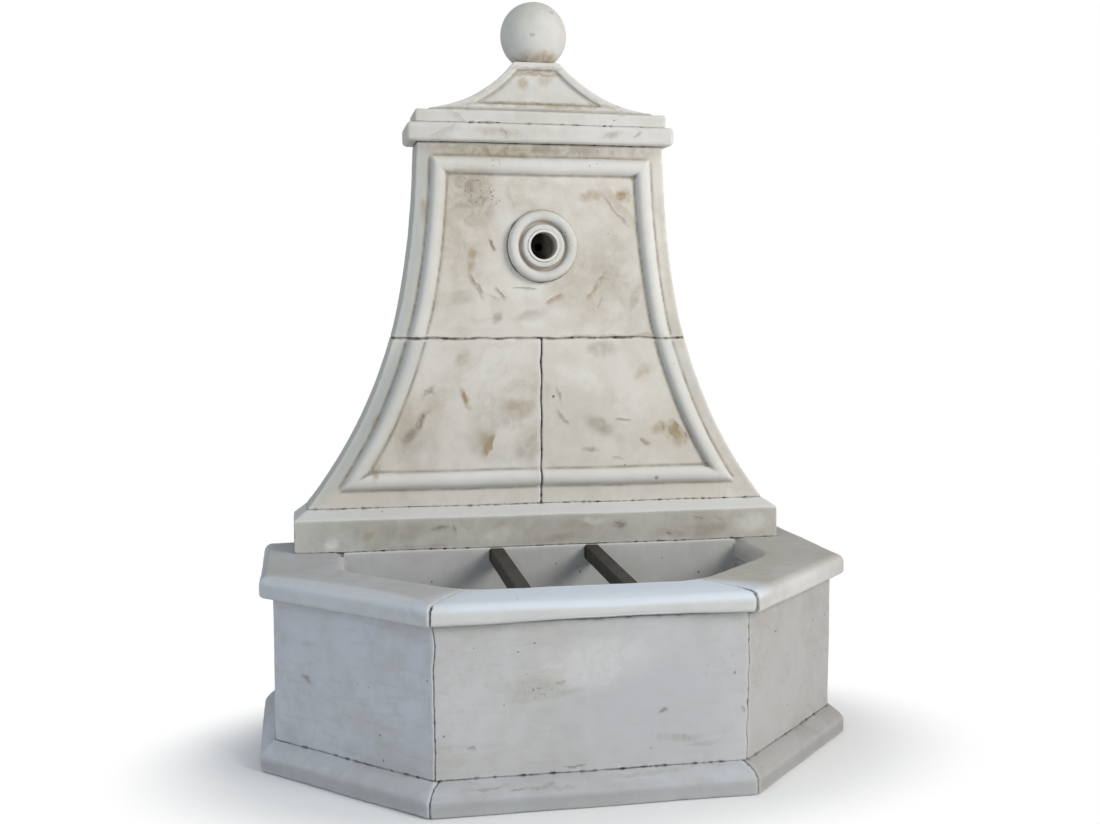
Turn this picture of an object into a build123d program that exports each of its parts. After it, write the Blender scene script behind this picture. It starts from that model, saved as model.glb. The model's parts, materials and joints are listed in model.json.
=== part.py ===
from build123d import *
import math
import os

# Wall fountain in cast stone, in millimetres.
# The model is drawn with the house wall at y = 0, the front towards -Y, the ground at z = 0 and
# the spout on x = 0. The saved parts are shifted so that the origin is the middle of the footprint.

# Basin plan: a half octagon with 45 degree diagonals, measured on the coping
coping_width = 1308
coping_depth = 715
coping_front_length = 662
rim_front = 140
rim_diagonal = 163
rim_side = 182
hollow_front_radius = 150
hollow_side_radius = 100
wall_inset = 28
plinth_outset = 33
plinth_rear_length = 215
back_wall_thickness = 156
wall_corner_radius = 14
joint_gap = 2

# Basin heights and edges
plinth_height = 63
plinth_face_height = 34
plinth_bulge = 4
plinth_foot_chamfer = 4
wall_height = 308
coping_thickness = 47
coping_top_radius = 20
coping_bottom_radius = 10
rim_inner_radius = 26
floor_thickness = 80

# Back panel: base course, three blocks and their raised frame
base_width = 1168
base_face_height = 74
base_chamfer_rise = 22
base_chamfer_run = 30
panel_depth = 122
lower_block_height = 395
upper_block_height = 454
panel_joint_width = 702
panel_top_width = 586
flank_bottom_slope = 0.8
flank_top_slope = 0.03
frame_margin = 33
frame_bottom_margin = 43
frame_width = 38
frame_height = 14

# Spout: pipe sleeve and stone rosette
spout_height = 1125
sleeve_outer_diameter = 75
sleeve_bore_diameter = 63.8
sleeve_projection = 28
sleeve_back = 78
sleeve_clearance = 0.4
collar_diameter = 100
collar_height = 26
collar_round = 3
cove_height = 12
cove_sink = 4
torus_diameter = 166
torus_width = 24

# Water supply: a bent pipe in a chase in the back, and a bush behind the sleeve that it ends in
riser_diameter = 22
riser_wall = 1
riser_depth = 25
riser_bend_radius = 33
chase_width = 44
chase_depth = 45
bush_length = 20
bush_lip = 6
bush_clearance = 0.3

# Cornice, pediment cap and ball
cornice_width = 634
cornice_depth = 142
cornice_thickness = 43
cornice_edge_radius = 10
cap_slab_width = 596
cap_slab_depth = 137
cap_slab_thickness = 29
cap_slab_edge_radius = 4
roof_foot_width = 534
roof_foot_height = 5
roof_top_width = 108
roof_height = 115
roof_sag = 24
roof_depth = 124
neck_offset = -13
recess_border = 17
recess_depth = 7
ball_radius = 78
ball_axis_depth = 80
ball_seat_depth = 6
ball_seat_clearance = 0.3

# Iron bars across the basin
bar_size = 33
bar_spacing = 229
bar_top_gap = 3
bar_fall = 14
bar_back_seat = 60
bar_front_seat = 45
bar_edge_chamfer = 2
bar_clearance = 0.5

# Steel pins and staples
dowel_diameter = 14
dowel_clearance = 0.3
bed_dowel_length = 88
finial_dowel_length = 110
base_dowel_spacing = 760
lower_dowel_inset = 120
lower_dowel_spacing = 300
upper_dowel_spacing = 340
cornice_dowel_spacing = 300
cornice_dowel_length = 130
joint_dowel_length = 140
joint_dowel_inset = 110
wall_pin_length = 120
wall_pin_inset = 88
cramp_length = 120
cramp_width = 20
cramp_thickness = 6
cramp_leg = 36
cramp_clearance = 0.4

# Waste and overflow
waste_wall_distance = 92
waste_flange_diameter = 92
waste_flange_thickness = 5
waste_body_diameter = 60
waste_bore_diameter = 46
waste_seat_diameter = 54
waste_seat_height = 14
waste_clearance = 0.4
washer_thickness = 3
washer_width = 12
locknut_across_flats = 78
locknut_thickness = 14
pocket_diameter = 110
pocket_height = 42
standpipe_diameter = 40
standpipe_wall = 2.5
overflow_height = 345
standpipe_flare = 6
standpipe_flare_height = 14
plug_height = 12
plug_clearance = 0.6
plug_head_diameter = 72
plug_head_thickness = 4
seal_thickness = 3

# Levels and half widths that follow
coping_half = coping_width / 2
front_half = coping_front_length / 2
diagonal_run = coping_half - front_half
return_depth = coping_depth - diagonal_run
overall_depth = coping_depth - wall_inset + plinth_outset
rim_height = plinth_height + wall_height + coping_thickness
wall_top = plinth_height + wall_height
base_chamfer_level = rim_height + base_face_height
block_bed = base_chamfer_level + base_chamfer_rise
block_joint = block_bed + lower_block_height
panel_top = block_joint + upper_block_height
cornice_top = panel_top + cornice_thickness
slab_top = cornice_top + cap_slab_thickness
roof_top = slab_top + roof_height
ball_level = roof_top - ball_seat_depth + ball_radius
base_depth = panel_depth + base_chamfer_run
panel_bottom_width = base_width - 2 * base_chamfer_run
hollow_half = coping_half - rim_side
hollow_front = coping_depth - rim_front
hollow_reach = coping_half + return_depth - rim_diagonal * math.sqrt(2)
hollow_front_half = hollow_reach - hollow_front
hollow_side_depth = hollow_reach - hollow_half
waste_x = (hollow_half + hollow_front_half) / 2 - waste_wall_distance * math.sqrt(0.5)
waste_depth = (hollow_side_depth + hollow_front) / 2 - waste_wall_distance * math.sqrt(0.5)
dowel_hole = dowel_diameter / 2 + dowel_clearance

# Half of the 45 degree turn between two sides of the basin
half_turn = math.pi / 8


def outline_points(inset):
    """Half-octagon of the coping edge, moved in by inset, from the wall on the left round to the right."""
    half = coping_half - inset
    front = coping_depth - inset
    slant = inset * math.tan(half_turn)
    corner = return_depth - slant
    front_corner = front_half - slant
    left = [(-half, 0), (-half, -corner), (-front_corner, -front)]
    right = [(-x, y) for x, y in reversed(left)]
    return left + right


def prism(points, low, high):
    """Upright prism over a plan polygon."""
    return extrude(Plane.XY.offset(low) * make_face(Polyline(*points, close=True)), high - low)


def block(width, depth, low, high, x=0, back=0):
    """Rectangular block that stands a given depth out from y = -back."""
    size = Align.CENTER, Align.MAX, Align.MIN
    return Pos(x, -back, low) * Box(width, depth, high - low, align=size)


def hollow(low, high):
    """The water space inside the walls, in front of the back wall, with rounded corners."""
    side = [(hollow_half, -back_wall_thickness), (hollow_half, -hollow_side_depth)]
    right = side + [(hollow_front_half, -hollow_front)]
    left = [(-x, y) for x, y in reversed(right)]
    space = prism(right + left, low, high)
    for depth, radius in ((hollow_side_depth, hollow_side_radius), (hollow_front, hollow_front_radius)):
        corners = [e for e in space.edges().filter_by(Axis.Z) if abs(e.center().Y + depth) < joint_gap]
        space = fillet(corners, radius)
    return space


def back_space(low, high):
    """Room between the returns that the back wall fills."""
    return block(2 * hollow_half, back_wall_thickness, low, high)


def mitre_slots(inset, low, high):
    """Two thin slots from the front corners of a course to the corners of the hollow."""
    corner_x, corner_y = outline_points(inset)[3]
    run_x = corner_x - hollow_front_half
    run_y = corner_y + hollow_front
    length = math.hypot(run_x, run_y)
    angle = math.degrees(math.atan2(run_y, run_x))
    middle = ((corner_x + hollow_front_half) / 2, (corner_y - hollow_front) / 2)
    size = Align.CENTER, Align.CENTER, Align.MIN
    slot = Pos(middle[0], middle[1], low) * Rot(Z=angle) * Box(2 * length, joint_gap, high - low, align=size)
    return slot + mirror(slot, Plane.YZ)


def left_to_right(shape):
    """Separate solids of a cut course, sorted across the fountain."""
    return sorted(shape.solids(), key=lambda solid: solid.center().X)


def upright_dowel(x, depth, low, high, radius=dowel_diameter / 2):
    """Vertical pin between two levels."""
    return Pos(x, -depth, low) * Cylinder(radius, high - low, align=(Align.CENTER, Align.CENTER, Align.MIN))


def level_dowel(x, depth, z, length, radius=dowel_diameter / 2):
    """Pin that lies across the fountain."""
    return Pos(x, -depth, z) * Rot(Y=90) * Cylinder(radius, length)


def bed_pins(spacings, depth, level, length, radius=dowel_diameter / 2):
    """Upright pins half above and half below a bed joint, in pairs about the middle."""
    places = [side * spacing / 2 for spacing in spacings for side in (-1, 1)]
    return [upright_dowel(x, depth, level - length / 2, level + length / 2, radius) for x in places]


def bars(grow=0):
    """The two bars, or their sockets when grown, tilted down towards the front."""
    span = hollow_front - back_wall_thickness
    angle = math.degrees(math.atan2(bar_fall, span))
    length = math.hypot(span, bar_fall) + bar_back_seat + bar_front_seat + 2 * grow
    side = bar_size + 2 * grow
    size = Align.CENTER, Align.MAX, Align.MAX
    bar = Pos(0, bar_back_seat + grow, grow) * Box(side, length, side, align=size)
    if grow == 0:
        bar = chamfer(bar.edges().filter_by(Axis.Y), bar_edge_chamfer)
    tilted = Pos(0, -back_wall_thickness, rim_height - bar_top_gap) * Rot(X=angle) * bar
    return [Pos(side * bar_spacing / 2, 0, 0) * tilted for side in (-1, 1)]


def cramps(grow=0):
    """Staples across the two front wall joints, flush with the wall tops, or their seats when grown."""
    corner_x, corner_y = outline_points(wall_inset)[3]
    middle_x = (corner_x + hollow_front_half) / 2
    middle_y = (corner_y - hollow_front) / 2
    size = Align.CENTER, Align.CENTER, Align.MAX
    width = cramp_width + 2 * grow
    length = cramp_length + 2 * grow
    staple = Box(length, width, cramp_thickness + grow, align=size)
    for side in (-1, 1):
        leg_x = side * (cramp_length - cramp_thickness) / 2
        staple += Pos(leg_x, 0, 0) * Box(cramp_thickness + 2 * grow, width, cramp_leg + grow, align=size)
    right = Pos(middle_x, middle_y, wall_top) * Rot(Z=math.degrees(half_turn)) * staple
    return [mirror(right, Plane.YZ), right]


def make_plinth():
    """Foot moulding: a blocky ring with a swept, bulging shoulder outside the wall line."""
    wall_line = outline_points(wall_inset)
    path = Polyline(*wall_line)
    face = (plinth_outset, plinth_face_height)
    foot = (plinth_outset, plinth_foot_chamfer)
    toe = (plinth_outset - plinth_foot_chamfer, 0)
    slope = math.hypot(plinth_outset, plinth_height - plinth_face_height)
    bulge_x = plinth_outset / 2 + plinth_bulge * (plinth_height - plinth_face_height) / slope
    bulge_z = (plinth_height + plinth_face_height) / 2 + plinth_bulge * plinth_outset / slope
    edge = Polyline((0, plinth_height), (0, 0), toe, foot, face)
    edge += ThreePointArc(face, (bulge_x, bulge_z), (0, plinth_height))
    start = Plane(origin=(*wall_line[0], 0), x_dir=(-1, 0, 0), z_dir=(0, 1, 0))
    shoulder = sweep(start * make_face(edge), path=path, transition=Transition.RIGHT)
    ring = prism(wall_line, 0, plinth_height) + shoulder
    ring -= hollow(0, plinth_height) + back_space(0, plinth_height)
    ring -= mitre_slots(wall_inset - plinth_outset, 0, plinth_height)
    ring -= block(2 * coping_width, joint_gap, 0, plinth_height, back=plinth_rear_length)
    return left_to_right(ring)


def make_walls():
    """Upright basin walls: one front stone and two that turn the corner to the house wall."""
    line = outline_points(wall_inset)
    ring = prism(line, plinth_height, wall_top)
    corner_y = line[1][1]
    corners = [e for e in ring.edges().filter_by(Axis.Z) if abs(e.center().Y - corner_y) < joint_gap]
    ring = fillet(corners, wall_corner_radius)
    ring -= hollow(plinth_height, wall_top) + back_space(plinth_height, wall_top)
    ring -= mitre_slots(wall_inset, plinth_height, wall_top)
    for tool in bars(bar_clearance) + cramps(cramp_clearance):
        ring -= tool
    for pin in wall_pins(dowel_hole):
        ring -= pin
    return left_to_right(ring)


def make_coping():
    """Bullnosed rim stones, soft along the hollow and mitred at the front corners."""
    ring = prism(outline_points(0), wall_top, rim_height)
    ring = fillet(level_edges(ring, rim_height), coping_top_radius)
    ring = fillet(level_edges(ring, wall_top), coping_bottom_radius)
    ring -= hollow(wall_top, rim_height)
    ring = fillet([e for e in level_edges(ring, rim_height) if inside_rim(e)], rim_inner_radius)
    ring -= back_space(wall_top, rim_height)
    ring -= mitre_slots(0, wall_top, rim_height)
    for socket in bars(bar_clearance):
        ring -= socket
    return left_to_right(ring)


def level_edges(shape, level):
    """Edges that lie at one level, apart from those against the house wall."""
    return [e for e in shape.edges().filter_by_position(Axis.Z, level, level) if e.center().Y < -joint_gap]


def inside_rim(edge):
    """True for an edge of the hollow, which lies well inside the coping's own edge."""
    place = edge.center()
    return abs(place.X) < hollow_half + joint_gap and -place.Y < hollow_front + joint_gap


def wall_pins(radius=dowel_diameter / 2):
    """Pins from the returns into the ends of the back wall."""
    levels = (plinth_height + wall_pin_inset, wall_top - wall_pin_inset)
    places = [(side * hollow_half, z) for side in (-1, 1) for z in levels]
    return [level_dowel(x, back_wall_thickness / 2, z, wall_pin_length, radius) for x, z in places]


def chase(low, high):
    """Upright channel in the back for the supply pipe."""
    return block(chase_width, chase_depth, low, high)


def make_back_wall():
    """Wall behind the water, with sockets for the bars and pins for its neighbours."""
    wall = block(2 * hollow_half, back_wall_thickness, floor_thickness, rim_height)
    wall -= chase(floor_thickness, rim_height)
    for tool in bars(bar_clearance) + wall_pins(dowel_hole) + base_course_pins(dowel_hole):
        wall -= tool
    return wall


def base_course_pins(radius=dowel_diameter / 2):
    """Pins between the back wall and the base course."""
    return bed_pins([base_dowel_spacing], panel_depth / 2, rim_height, bed_dowel_length, radius)


def lower_pins(radius=dowel_diameter / 2):
    """Pins between the base course and the lower blocks."""
    spacings = [2 * lower_dowel_inset, 2 * (lower_dowel_inset + lower_dowel_spacing)]
    return bed_pins(spacings, panel_depth / 2, block_bed, bed_dowel_length, radius)


def upper_pins(radius=dowel_diameter / 2):
    """Pins between the lower blocks and the upper block."""
    return bed_pins([upper_dowel_spacing], panel_depth / 2, block_joint, bed_dowel_length, radius)


def joint_pins(radius=dowel_diameter / 2):
    """Pins across the upright joint of the lower blocks."""
    levels = (block_bed + joint_dowel_inset, block_joint - joint_dowel_inset)
    return [level_dowel(0, panel_depth / 2, z, joint_dowel_length, radius) for z in levels]


def cornice_pins(radius=dowel_diameter / 2):
    """Long pins from the upper block through the cornice into the cap."""
    middle = (panel_top + cornice_top) / 2
    return bed_pins([cornice_dowel_spacing], panel_depth / 2, middle, cornice_dowel_length, radius)


def finial_pin(radius=dowel_diameter / 2):
    """Pin that holds the ball on the cap."""
    low = roof_top - finial_dowel_length / 2
    return upright_dowel(neck_offset, ball_axis_depth, low, low + finial_dowel_length, radius)


def make_base_course():
    """Course on the rim with its top chamfered to the front and the ends."""
    body = block(base_width, base_depth, rim_height, base_chamfer_level)
    low = Pos(0, -base_depth / 2, base_chamfer_level) * Rectangle(base_width, base_depth)
    high = Pos(0, -panel_depth / 2, block_bed) * Rectangle(panel_bottom_width, panel_depth)
    body += loft([low, high])
    body -= chase(rim_height, block_bed)
    for pin in base_course_pins(dowel_hole) + lower_pins(dowel_hole):
        body -= pin
    return body


def flank_curve(inset):
    """Right-hand concave flank, nearly upright at the top, or its parallel moved in by inset."""
    foot = (panel_bottom_width / 2, block_bed)
    joint = (panel_joint_width / 2, block_joint)
    head = (panel_top_width / 2, panel_top)
    ends = ((-flank_bottom_slope, 1), (-flank_top_slope, 1))
    edge = Spline(foot, joint, head, tangents=ends)
    moved = []
    for x, z in (foot, joint, head):
        along = edge % edge.param_at_point(Vector(x, z))
        moved.append((x - inset * along.Y, z + inset * along.X))
    return Spline(*moved, tangents=ends)


def panel_outline(inset, low, high):
    """Front outline of the back panel between two levels, with its flanks moved in by inset."""
    flank = flank_curve(inset)
    foot = flank @ 0
    head = flank @ 1
    across_top = Line((head.X, head.Y), (-head.X, head.Y))
    across_foot = Line((-foot.X, foot.Y), (foot.X, foot.Y))
    whole = make_face(flank + across_top + mirror(flank, Plane.YZ) + across_foot)
    window = Pos(0, low) * Rectangle(base_width, high - low, align=(Align.CENTER, Align.MIN))
    return whole & window


def make_frame():
    """Raised bead swept round the panel, mitred at its corners and parallel to the flanks."""
    half = frame_width / 2
    inset = frame_margin + half
    low = block_bed + frame_bottom_margin + half
    high = panel_top - inset
    flank = panel_outline(inset, low, high).edges().filter_by(GeomType.BSPLINE).sort_by(Axis.X)[-1]
    foot, head = sorted((flank @ 0, flank @ 1), key=lambda end: end.Y)
    path = Wire([Line((0, low), (foot.X, low)), flank, Line((head.X, high), (0, high))])
    section = ThreePointArc((-half, 0), (0, frame_height), (half, 0)) + Line((half, 0), (-half, 0))
    start = Plane(origin=(0, low, 0), x_dir=(0, 1, 0), z_dir=(1, 0, 0))
    bead = sweep(start * make_face(section), path=path, transition=Transition.RIGHT)
    return Plane.XZ.offset(panel_depth) * (bead + mirror(bead, Plane.YZ))


def make_panel():
    """Back panel in one piece, with its raised frame."""
    return extrude(Plane.XZ * panel_outline(0, block_bed, panel_top), panel_depth) + make_frame()


def make_blocks():
    """The panel cut at its level joint and its upright joint into three blocks."""
    panel = make_panel()
    wide = 2 * base_width
    deep = 2 * panel_depth
    lower = panel & block(wide, deep, block_bed, block_joint)
    upper = panel & block(wide, deep, block_joint, panel_top)
    lower -= block(joint_gap, deep, block_bed, block_joint)
    lower -= chase(block_bed, block_joint)
    upper -= chase(block_joint, spout_height)
    for pin in lower_pins(dowel_hole) + upper_pins(dowel_hole) + joint_pins(dowel_hole):
        lower -= pin
    for pin in upper_pins(dowel_hole) + cornice_pins(dowel_hole):
        upper -= pin
    hole = Cylinder(sleeve_outer_diameter / 2 + sleeve_clearance, 2 * deep)
    upper -= Pos(0, 0, spout_height) * Rot(X=90) * hole
    left, right = left_to_right(lower)
    return left, right, upper


def make_rosette():
    """Turned stone ring: outer torus, sunk cove and a raised collar round the sleeve."""
    bore = sleeve_outer_diameter / 2 + sleeve_clearance
    collar = collar_diameter / 2
    outer = torus_diameter / 2
    inner = outer - torus_width
    half = torus_width / 2
    round_start = (collar - collar_round, collar_height)
    round_middle = collar_round * (1 - math.sqrt(0.5))
    edge = Polyline((outer, cove_height), (outer, 0), (bore, 0), (bore, collar_height), round_start)
    edge += ThreePointArc(
        round_start,
        (collar - round_middle, collar_height - round_middle),
        (collar, collar_height - collar_round),
    )
    edge += Line((collar, collar_height - collar_round), (collar, cove_height))
    cove_middle = ((collar + inner) / 2, cove_height - cove_sink)
    edge += ThreePointArc((collar, cove_height), cove_middle, (inner, cove_height))
    edge += ThreePointArc((inner, cove_height), (outer - half, cove_height + half), (outer, cove_height))
    ring = revolve(make_face(edge), Axis.Y)
    return Pos(0, -panel_depth, spout_height) * mirror(ring, Plane.XZ)


def make_sleeve():
    """Plain pipe in the upper block, a little proud of the collar."""
    length = panel_depth + sleeve_projection - sleeve_back
    ring = Circle(sleeve_outer_diameter / 2) - Circle(sleeve_bore_diameter / 2)
    return Pos(0, 0, spout_height) * extrude(Plane.XZ.offset(sleeve_back) * ring, length)


def make_bush():
    """Rubber bush behind the sleeve: a socket for the supply pipe, with a lip that its end stops against."""
    outer = sleeve_outer_diameter / 2 + sleeve_clearance - bush_clearance
    pipe = riser_diameter / 2
    back = sleeve_back - bush_length
    bush = extrude(Plane.XZ.offset(back) * Circle(outer), bush_length)
    bush -= extrude(Plane.XZ.offset(back) * Circle(pipe + bush_clearance), bush_length - bush_lip)
    bush -= extrude(Plane.XZ.offset(back) * Circle(pipe - riser_wall), bush_length)
    return Pos(0, 0, spout_height) * bush


def make_riser():
    """Supply pipe: up the chase from the ground, then round a bend into the bush."""
    outlet = sleeve_back - bush_lip
    points = [(0, -riser_depth, 0), (0, -riser_depth, spout_height), (0, -outlet, spout_height)]
    path = FilletPolyline(*points, radius=riser_bend_radius)
    section = Circle(riser_diameter / 2) - Circle(riser_diameter / 2 - riser_wall)
    return sweep(Pos(0, -riser_depth, 0) * section, path=path)


def make_cornice():
    """Projecting slab under the cap, with softened edges."""
    slab = block(cornice_width, cornice_depth, panel_top, cornice_top)
    slab = fillet([e for e in slab.edges() if e.center().Y < -joint_gap], cornice_edge_radius)
    for pin in cornice_pins(dowel_hole):
        slab -= pin
    return slab


def roof_edge(side):
    """Concave edge of the pediment, right (1) or left (-1), as an arc from its foot to its neck."""
    foot = (side * roof_foot_width / 2, roof_foot_height)
    neck = (neck_offset + side * roof_top_width / 2, roof_height)
    run = neck[0] - foot[0]
    rise = neck[1] - foot[1]
    sag = side * roof_sag / math.hypot(run, rise)
    middle_x = (foot[0] + neck[0]) / 2 - sag * rise
    middle_z = (foot[1] + neck[1]) / 2 + sag * run
    return ThreePointArc(foot, (middle_x, middle_z), neck)


def make_cap():
    """Slab and pediment in one stone, with a sunk field and a dished seat for the ball."""
    left, right = roof_edge(-1), roof_edge(1)
    half = roof_foot_width / 2
    sole = Polyline(left @ 0, (-half, 0), (half, 0), right @ 0)
    gable = make_face(sole + right + Line(right @ 1, left @ 1) + left)
    slab = block(cap_slab_width, cap_slab_depth, cornice_top, slab_top)
    slab = fillet([e for e in slab.edges() if e.center().Y < -joint_gap], cap_slab_edge_radius)
    roof = Pos(0, 0, slab_top) * extrude(Plane.XZ * gable, roof_depth)
    field = offset(gable, -recess_border, kind=Kind.INTERSECTION)
    sunk = Pos(0, 0, slab_top) * extrude(Plane.XZ.offset(roof_depth - recess_depth) * field, 2 * recess_depth)
    cap = slab + roof - sunk
    cap -= Pos(neck_offset, -ball_axis_depth, ball_level) * Sphere(ball_radius + ball_seat_clearance)
    cap -= finial_pin(dowel_hole)
    for pin in cornice_pins(dowel_hole):
        cap -= pin
    return cap


def make_ball():
    """Ball finial with a pin hole in its underside."""
    return Pos(neck_offset, -ball_axis_depth, ball_level) * Sphere(ball_radius) - finial_pin(dowel_hole)


def turned(points, low):
    """Solid of revolution about the waste's upright axis, from radius and height pairs."""
    profile = make_face(Plane.XZ * Polyline(*points, close=True))
    return Pos(waste_x, -waste_depth, low) * revolve(profile, Axis.Z)


def make_floor():
    """Floor slab between the walls, rebated for the waste and open below it."""
    slab = hollow(0, floor_thickness) + back_space(0, floor_thickness)
    pocket = upright_dowel(waste_x, waste_depth, 0, pocket_height, pocket_diameter / 2)
    hole = upright_dowel(waste_x, waste_depth, 0, floor_thickness, waste_body_diameter / 2 + waste_clearance)
    rebate_radius = waste_flange_diameter / 2 + waste_clearance
    rebate = upright_dowel(
        waste_x,
        waste_depth,
        floor_thickness - waste_flange_thickness,
        floor_thickness,
        rebate_radius,
    )
    return slab - pocket - hole - rebate - chase(0, floor_thickness)


def make_waste():
    """Flanged waste body with a tapered seat at the top of its bore."""
    flange = waste_flange_diameter / 2
    body = waste_body_diameter / 2
    bore = waste_bore_diameter / 2
    seat = waste_seat_diameter / 2
    under = floor_thickness - waste_flange_thickness
    points = [(bore, 0), (body, 0), (body, under), (flange, under), (flange, floor_thickness)]
    points += [(seat, floor_thickness), (bore, floor_thickness - waste_seat_height)]
    return turned(points, 0)


def make_washer():
    """Rubber washer under the slab, round the waste body."""
    inner = waste_body_diameter / 2 + waste_clearance
    outer = inner + washer_width
    points = [(inner, 0), (outer, 0), (outer, washer_thickness), (inner, washer_thickness)]
    return turned(points, pocket_height - washer_thickness)


def make_locknut():
    """Hexagon nut that draws the waste down on the slab."""
    level = pocket_height - washer_thickness - locknut_thickness
    hexagon = RegularPolygon(locknut_across_flats / 2, 6, major_radius=False)
    ring = hexagon - Circle(waste_body_diameter / 2 + waste_clearance)
    return Pos(waste_x, -waste_depth, level) * extrude(ring, locknut_thickness)


def plug_radius(height):
    """Radius of the plug's taper at a height above the foot of the waste seat."""
    bore = waste_bore_diameter / 2
    return bore + (waste_seat_diameter / 2 - bore) * height / waste_seat_height - plug_clearance


def make_standpipe():
    """Overflow tube with a tapered plug and a head at its foot, and a flared mouth."""
    foot = floor_thickness - waste_seat_height
    outer = standpipe_diameter / 2
    inner = outer - standpipe_wall
    neck = plug_radius(plug_height)
    under = waste_seat_height + seal_thickness
    above = under + plug_head_thickness
    head = plug_head_diameter / 2
    top = overflow_height - foot
    flare = top - standpipe_flare_height
    points = [(inner, 0), (plug_radius(0), 0), (neck, plug_height), (neck, under), (head, under)]
    points += [(head, above), (outer, above), (outer, flare), (outer + standpipe_flare, top)]
    points += [(inner + standpipe_flare, top), (inner, flare)]
    return turned(points, foot)


def make_seal():
    """Soft ring between the plug's head and the waste flange."""
    inner = plug_radius(plug_height) + waste_clearance
    outer = plug_head_diameter / 2
    points = [(inner, 0), (outer, 0), (outer, seal_thickness), (inner, seal_thickness)]
    return turned(points, floor_thickness)


def save(name, *solids):
    """Write one node, moved so that the origin is the middle of the footprint."""
    shape = solids[0] if len(solids) == 1 else Compound(solids)
    export_step(Pos(0, overall_depth / 2, 0) * shape, f"parts/{name}.step")


os.makedirs("parts", exist_ok=True)

plinth_names = ["plinth_left_rear", "plinth_left", "plinth_front", "plinth_right", "plinth_right_rear"]
wall_names = ["wall_left", "wall_front", "wall_right"]
coping_names = ["coping_left", "coping_front", "coping_right"]
courses = ((plinth_names, make_plinth()), (wall_names, make_walls()), (coping_names, make_coping()))
for names, pieces in courses:
    for name, piece in zip(names, pieces, strict=True):
        save(name, piece)

for side, bar in zip(("left", "right"), bars(), strict=True):
    save(f"bucket_bar_{side}", bar)

for name, piece in zip(("lower_block_left", "lower_block_right", "upper_block"), make_blocks(), strict=True):
    save(name, piece)

save("basin_floor", make_floor())
save("basin_back_wall", make_back_wall())
save("base_course", make_base_course())
save("spout_rosette", make_rosette())
save("spout_sleeve", make_sleeve())
save("sleeve_bush", make_bush())
save("supply_riser", make_riser())
save("cornice_slab", make_cornice())
save("pediment_cap", make_cap())
save("ball_finial", make_ball())
save("back_wall_dowels", *wall_pins())
save("base_course_dowels", *base_course_pins())
save("base_bed_dowels", *lower_pins())
save("block_joint_dowels", *joint_pins())
save("upper_block_dowels", *upper_pins())
save("cornice_dowels", *cornice_pins())
save("finial_dowel", finial_pin())
save("wall_cramps", *cramps())
save("waste_body", make_waste())
save("waste_washer", make_washer())
save("waste_locknut", make_locknut())
save("overflow_standpipe", make_standpipe())
save("standpipe_seal", make_seal())
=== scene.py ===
import json
import math

import bpy
import numpy as np
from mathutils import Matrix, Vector, noise
from mathutils.bvhtree import BVHTree


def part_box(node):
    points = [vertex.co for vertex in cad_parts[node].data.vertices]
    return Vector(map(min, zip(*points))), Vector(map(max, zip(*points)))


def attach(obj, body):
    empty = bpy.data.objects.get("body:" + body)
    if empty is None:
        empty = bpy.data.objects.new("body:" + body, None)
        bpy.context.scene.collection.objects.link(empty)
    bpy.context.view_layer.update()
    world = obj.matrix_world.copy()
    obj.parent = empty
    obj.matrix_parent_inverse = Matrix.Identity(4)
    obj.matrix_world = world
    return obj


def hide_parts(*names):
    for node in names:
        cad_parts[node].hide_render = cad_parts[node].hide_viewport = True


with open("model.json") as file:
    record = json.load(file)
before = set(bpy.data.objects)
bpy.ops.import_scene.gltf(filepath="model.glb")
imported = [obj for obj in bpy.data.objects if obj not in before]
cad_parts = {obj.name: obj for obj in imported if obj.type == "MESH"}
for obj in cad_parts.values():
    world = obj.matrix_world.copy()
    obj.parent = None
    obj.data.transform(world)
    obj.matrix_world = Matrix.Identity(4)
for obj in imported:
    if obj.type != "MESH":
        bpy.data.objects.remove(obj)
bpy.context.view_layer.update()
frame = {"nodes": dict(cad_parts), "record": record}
scene = bpy.context.scene

# Seed of the random unevenness, so that every run makes the same stones
noise_seed = 7
noise.seed_set(noise_seed)

# Camera in the frame of the part: metres, radians, and millimetres for the lens and its sensor
camera_place = (-0.555, -2.715, 0.977)
camera_turn = 0.1921
camera_dip = 0.081
camera_lens = 41.43
camera_sensor = 36

# Light: the sky, and the place, aim, size, power and colour of each lamp
white = (1, 1, 1, 1)
sky_colour = (0.90, 0.95, 1.0, 1)
sky_strength = 0.47
lamps = {
    "key": ((2.9, -3.2, 2.6), (0, 0.1, 0.9), 1.9, 145, (1.0, 0.97, 0.91)),
    "fill": ((-2.8, -2.6, 2.4), (0, 0, 0.6), 3.0, 26, (0.75, 0.88, 1.0)),
}

# Floor: it fades into the background between two distances, measured in its own spread
floor_half = 40.0
floor_level = -0.0005
floor_colour = (0.88, 0.88, 0.88, 1)
floor_spread = (0.8, 0.5, 1)
floor_fade = (0.8, 1.25)

# Grid of the stone meshes, in metres
grid = 0.0032
grid_of = {
    "spout_rosette": 0.002, "pediment_cap": 0.0025, "ball_finial": 0.0025, "basin_floor": 0.006,
    "basin_back_wall": 0.004,
}

# Rounds of smoothing for the arrises; the stones with more rounds get softer creases too
soften_factor = 0.5
soften_rounds = 3
soften_rounds_of = {"pediment_cap": 9, "spout_rosette": 6}

# Rounds of smoothing that find hollows and ridges, and the shifts that count as full ones, in metres
cavity_rounds = 24
cavity_shift = 0.0018
sharp_shift = 0.001
crease_shift = 0.00035
blur_rounds = 4

# Uneven faces: size and height of the waves and ripples in metres, and their place in the noise
wave_size = 0.19
wave_height = 0.0016
wave_place = 3.1
ripple_size = 0.055
ripple_height = 0.0006
ripple_place = 11.7

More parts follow.
